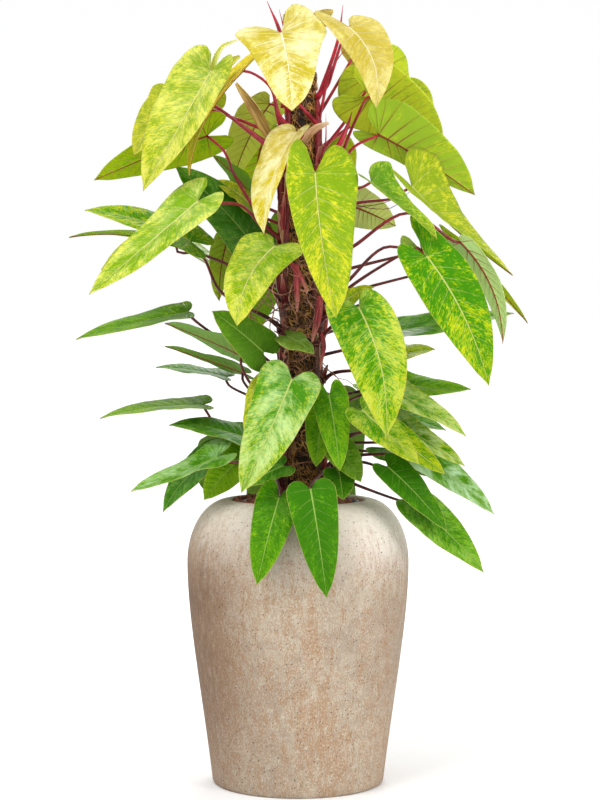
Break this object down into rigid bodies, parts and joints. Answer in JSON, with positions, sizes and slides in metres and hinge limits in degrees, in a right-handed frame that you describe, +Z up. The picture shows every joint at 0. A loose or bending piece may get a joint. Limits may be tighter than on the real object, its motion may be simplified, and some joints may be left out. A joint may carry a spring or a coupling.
{
  "type": "potted climbing houseplant",
  "caption": "Painted lady philodendron climbing a coir pole, with heart-shaped cream, lime and green leaves on maroon stalks, in a tall stone-look planter.",
  "frame": {"origin": "centre of the planter's base, on the floor", "axes": "+Z up, -Y to the front of the plant as pictured, +X to the right"},
  "size_m": [0.8598, 0.5602, 1.4284],
  "materials": {
    "stone": "matt, sandy beige with brown streaks and fine pits",
    "clay_granules": "matt, fired clay",
    "black_plastic": "satin",
    "soil": "rough, dark",
    "coir": "rough fibre",
    "stake_wood": "sawn",
    "stem": "smooth, waxy, maroon",
    "leaf_cream": "waxy, cream to yellow",
    "leaf_lime": "waxy, lime with yellow marks",
    "leaf_green": "waxy, mid green",
    "leaf_dark": "waxy, dark green"
  },
  "bodies": {
    "root": {"planter": "stone", "granule_fill": "clay_granules", "grower_pot": "black_plastic", "potting_soil": "soil", "top_granules": "clay_granules", "coir_sleeve": "coir", "pole_stake": "stake_wood", "vine_a": "stem", "vine_b": "stem", "vine_c": "stem", "vine_d": "stem", "leafy_vine_e": "leaf_green", "leafy_vine_f": "leaf_green", "blade_crown_cream": "leaf_cream", "blade_crown_gold": "leaf_cream", "blade_cream_white": "leaf_cream", "blade_lime_upper_left": "leaf_lime", "blade_yellow_edge_left": "leaf_cream", "blade_green_far_left": "leaf_green", "blade_lime_front_left": "leaf_lime", "blade_green_long_left": "leaf_green", "blade_thin_far_left": "leaf_green", "blade_painted_centre_left": "leaf_lime", "blade_green_reaching_left": "leaf_dark", "blade_mid_left_high": "leaf_dark", "blade_mid_left": "leaf_dark", "blade_round_left": "leaf_dark", "blade_flat_left": "leaf_dark", "blade_dark_low_left": "leaf_dark", "blade_drooping_low_left": "leaf_dark", "blade_low_left_inner": "leaf_dark", "blade_painted_front_large": "leaf_lime", "blade_painted_front_right": "leaf_green", "blade_painted_front_low": "leaf_lime", "blade_lime_behind_low": "leaf_lime", "blade_folded_centre": "leaf_dark", "blade_green_inner_right": "leaf_dark", "blade_dark_inner_right": "leaf_dark", "blade_dark_low_right": "leaf_dark", "blade_hanging_front_left": "leaf_dark", "blade_hanging_front": "leaf_dark", "blade_low_front": "leaf_dark", "blade_round_low_right": "leaf_dark", "blade_lime_top_right_near": "leaf_lime", "blade_lime_large_right": "leaf_lime", "blade_narrow_right": "leaf_green", "blade_lime_far_right": "leaf_lime", "blade_pale_hanging_right": "leaf_green", "blade_painted_large_right": "leaf_green", "blade_leaf_behind_large": "leaf_green", "blade_lime_sliver_right": "leaf_lime", "blade_short_right_high": "leaf_green", "blade_fan_right_top": "leaf_dark", "blade_fan_right_second": "leaf_green", "blade_lime_low_right": "leaf_lime", "blade_lime_low_right_behind": "leaf_lime", "blade_fan_right_fourth": "leaf_dark", "blade_long_low_right": "leaf_dark", "blade_dark_low_right_front": "leaf_dark", "blade_lowest_right": "leaf_dark"}
  },
  "joints": []
}
